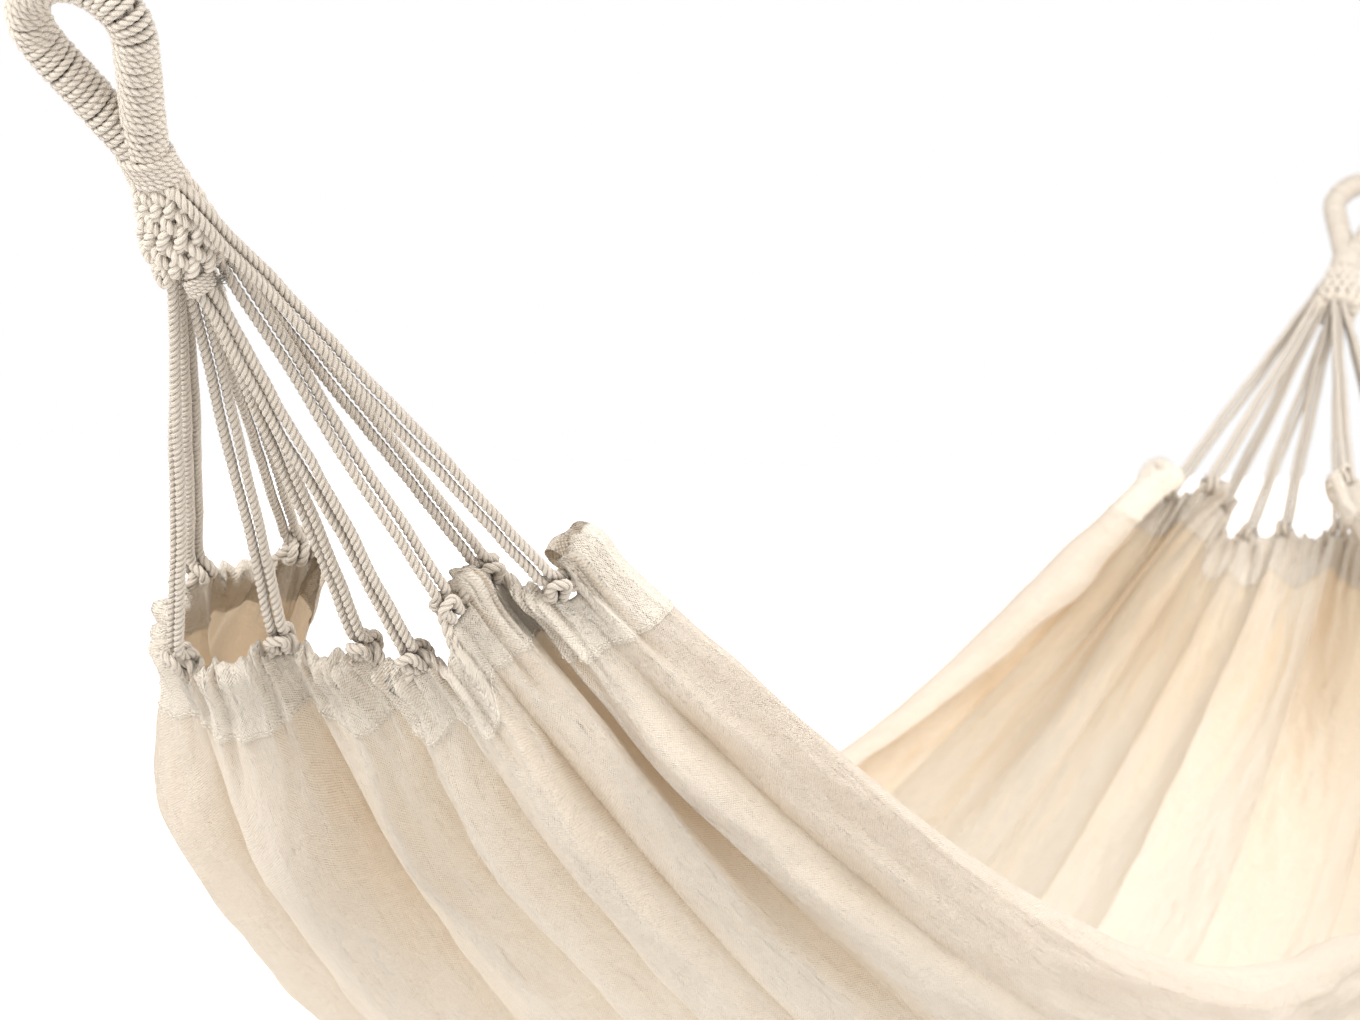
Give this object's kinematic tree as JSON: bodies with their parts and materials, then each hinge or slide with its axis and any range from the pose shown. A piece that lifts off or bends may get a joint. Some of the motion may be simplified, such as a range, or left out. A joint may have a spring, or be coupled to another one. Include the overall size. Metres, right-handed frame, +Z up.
{
  "type": "rope hammock",
  "caption": "Gathered cotton cloth hammock hung at each end by paired cords from a braided knot and a cord-wrapped eye.",
  "frame": {"origin": "under the middle of the hung bed, at the height of the bed's lowest point", "axes": "+X along the hammock from the left eye to the right eye, +Y across it, +Z up"},
  "size_m": [2.5804, 0.8248, 0.9562],
  "materials": {
    "cord": "twisted natural cotton cord",
    "serving": "close wrapping of natural cotton cord",
    "cloth": "matte unbleached cotton canvas",
    "hem_cloth": "doubled unbleached cotton canvas",
    "thread": "cotton sewing thread"
  },
  "bodies": {
    "left_eye": {"left_eye_core": "cord", "left_eye_serving": "serving"},
    "bed": {"bed_cloth": "cloth", "left_neck_seizing": "serving", "left_knot": "cord", "left_cord_binding": "serving", "left_cord_pair_1": "cord", "left_cord_pair_2": "cord", "left_cord_pair_3": "cord", "left_cord_pair_4": "cord", "left_cord_pair_5": "cord", "left_cord_pair_6": "cord", "left_cord_pair_7": "cord", "left_cord_pair_8": "cord", "left_cord_pair_9": "cord", "left_hem_rope": "cord", "left_hem_band": "hem_cloth", "left_hem_stitching": "thread", "right_neck_seizing": "serving", "right_knot": "cord", "right_cord_binding": "serving", "right_cord_pair_1": "cord", "right_cord_pair_2": "cord", "right_cord_pair_3": "cord", "right_cord_pair_4": "cord", "right_cord_pair_5": "cord", "right_cord_pair_6": "cord", "right_cord_pair_7": "cord", "right_cord_pair_8": "cord", "right_cord_pair_9": "cord", "right_hem_rope": "cord", "right_hem_band": "hem_cloth", "right_hem_stitching": "thread"},
    "right_eye": {"right_eye_core": "cord", "right_eye_serving": "serving"}
  },
  "joints": [
    {"name": "bed_swing", "type": "hinge", "parent": "left_eye", "child": "bed", "pos_m": [-1.19116, 0, 0.84636], "axis": [1, 0, 0], "range_deg": [-35, 35]},
    {"name": "right_eye_stays", "type": "hinge", "parent": "bed", "child": "right_eye", "pos_m": [1.19116, 0, 0.84636], "axis": [1, 0, 0], "range_deg": [-35.5, 35.5]}
  ],
  "couplings": [
    {"joint": "right_eye_stays", "follows": "bed_swing", "ratio": -1}
  ]
}
